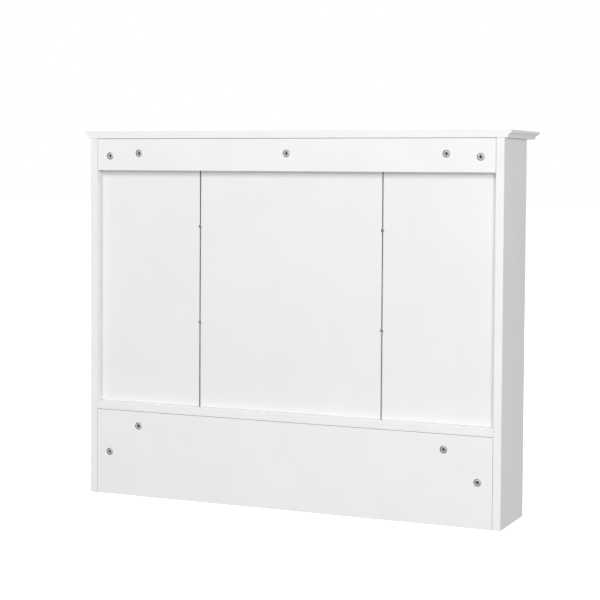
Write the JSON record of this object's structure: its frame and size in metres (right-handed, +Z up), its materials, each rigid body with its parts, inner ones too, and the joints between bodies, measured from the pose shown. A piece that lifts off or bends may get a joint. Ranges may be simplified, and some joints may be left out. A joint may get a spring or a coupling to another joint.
{
  "type": "medicine cabinet",
  "caption": "Wide wall cabinet with a moulded crown, framed mirror doors on concealed hinges, adjustable shelves behind them and an open shelf below.",
  "frame": {"origin": "middle of the overall footprint, on the plane of the cabinet's base", "axes": "+Z up; the doors face -Y and the flat back faces +Y; +X to the right as seen from the front"},
  "size_m": [0.927, 0.1934, 0.76],
  "materials": {
    "white_melamine": "white melamine-faced particle board, fine satin texture",
    "white_lacquer": "satin white lacquer on MDF",
    "hardboard": "white-faced thin hardboard, satin",
    "mirror_glass": "silvered float glass",
    "zinc": "die-cast zinc, as cast",
    "nickel_steel": "nickel-plated steel",
    "knob_metal": "satin nickel plating",
    "beech": "fluted beech",
    "clear_bumper": "soft clear polyurethane"
  },
  "bodies": {
    "carcass": {"back_panel_centre": "hardboard", "back_panel_left": "hardboard", "back_panel_right": "hardboard", "back_panel_screws": "nickel_steel", "bottom_panel": "white_melamine", "cam_bolts": "zinc", "cam_locks": "zinc", "crown_top": "white_lacquer", "divider_left": "white_melamine", "divider_right": "white_melamine", "door_bumpers": "clear_bumper", "fixed_shelf": "white_melamine", "hanging_rail": "white_melamine", "hinge_arms": "nickel_steel", "hinge_plate_screws": "nickel_steel", "hinge_plates": "nickel_steel", "lower_back_board": "white_melamine", "shelf_centre_lower": "white_melamine", "shelf_centre_upper": "white_melamine", "shelf_left_lower": "white_melamine", "shelf_left_upper": "white_melamine", "shelf_pins": "nickel_steel", "shelf_right_lower": "white_melamine", "shelf_right_upper": "white_melamine", "side_panel_left": "white_melamine", "side_panel_right": "white_melamine", "wood_dowels": "beech"},
    "left_links": {"left_hinge_links": "nickel_steel"},
    "left_door": {"left_door_backing": "hardboard", "left_door_cup_screws": "nickel_steel", "left_door_hinge_cups": "nickel_steel", "left_door_knob": "knob_metal", "left_door_knob_screw": "nickel_steel", "left_door_mirror": "mirror_glass", "left_door_rail_bottom": "white_lacquer", "left_door_rail_top": "white_lacquer", "left_door_stile_free": "white_lacquer", "left_door_stile_hinge": "white_lacquer"},
    "centre_links": {"centre_hinge_links": "nickel_steel"},
    "centre_door": {"centre_door_backing": "hardboard", "centre_door_cup_screws": "nickel_steel", "centre_door_hinge_cups": "nickel_steel", "centre_door_knob": "knob_metal", "centre_door_knob_screw": "nickel_steel", "centre_door_mirror": "mirror_glass", "centre_door_rail_bottom": "white_lacquer", "centre_door_rail_top": "white_lacquer", "centre_door_stile_free": "white_lacquer", "centre_door_stile_hinge": "white_lacquer"},
    "right_links": {"right_hinge_links": "nickel_steel"},
    "right_door": {"right_door_backing": "hardboard", "right_door_cup_screws": "nickel_steel", "right_door_hinge_cups": "nickel_steel", "right_door_knob": "knob_metal", "right_door_knob_screw": "nickel_steel", "right_door_mirror": "mirror_glass", "right_door_rail_bottom": "white_lacquer", "right_door_rail_top": "white_lacquer", "right_door_stile_free": "white_lacquer", "right_door_stile_hinge": "white_lacquer"}
  },
  "joints": [
    {"name": "left_links_swing", "type": "hinge", "parent": "carcass", "child": "left_links", "pos_m": [-0.417, -0.05025, 0.461], "axis": [0, 0, -1], "range_deg": [-33.25, 0]},
    {"name": "left_door_swing", "type": "hinge", "parent": "left_links", "child": "left_door", "pos_m": [-0.4325, -0.06225, 0.461], "axis": [0, 0, -1], "range_deg": [0, 128.25]},
    {"name": "centre_links_swing", "type": "hinge", "parent": "carcass", "child": "centre_links", "pos_m": [-0.1735, -0.05025, 0.461], "axis": [0, 0, -1], "range_deg": [-33.25, 0]},
    {"name": "centre_door_swing", "type": "hinge", "parent": "centre_links", "child": "centre_door", "pos_m": [-0.189, -0.06225, 0.461], "axis": [0, 0, -1], "range_deg": [0, 128.25]},
    {"name": "right_links_swing", "type": "hinge", "parent": "carcass", "child": "right_links", "pos_m": [0.417, -0.05025, 0.461], "axis": [0, 0, 1], "range_deg": [-33.25, 0]},
    {"name": "right_door_swing", "type": "hinge", "parent": "right_links", "child": "right_door", "pos_m": [0.4325, -0.06225, 0.461], "axis": [0, 0, 1], "range_deg": [0, 128.25]}
  ],
  "couplings": [
    {"joint": "left_links_swing", "follows": "left_door_swing", "ratio": -0.25926},
    {"joint": "centre_links_swing", "follows": "centre_door_swing", "ratio": -0.25926},
    {"joint": "right_links_swing", "follows": "right_door_swing", "ratio": -0.25926}
  ]
}
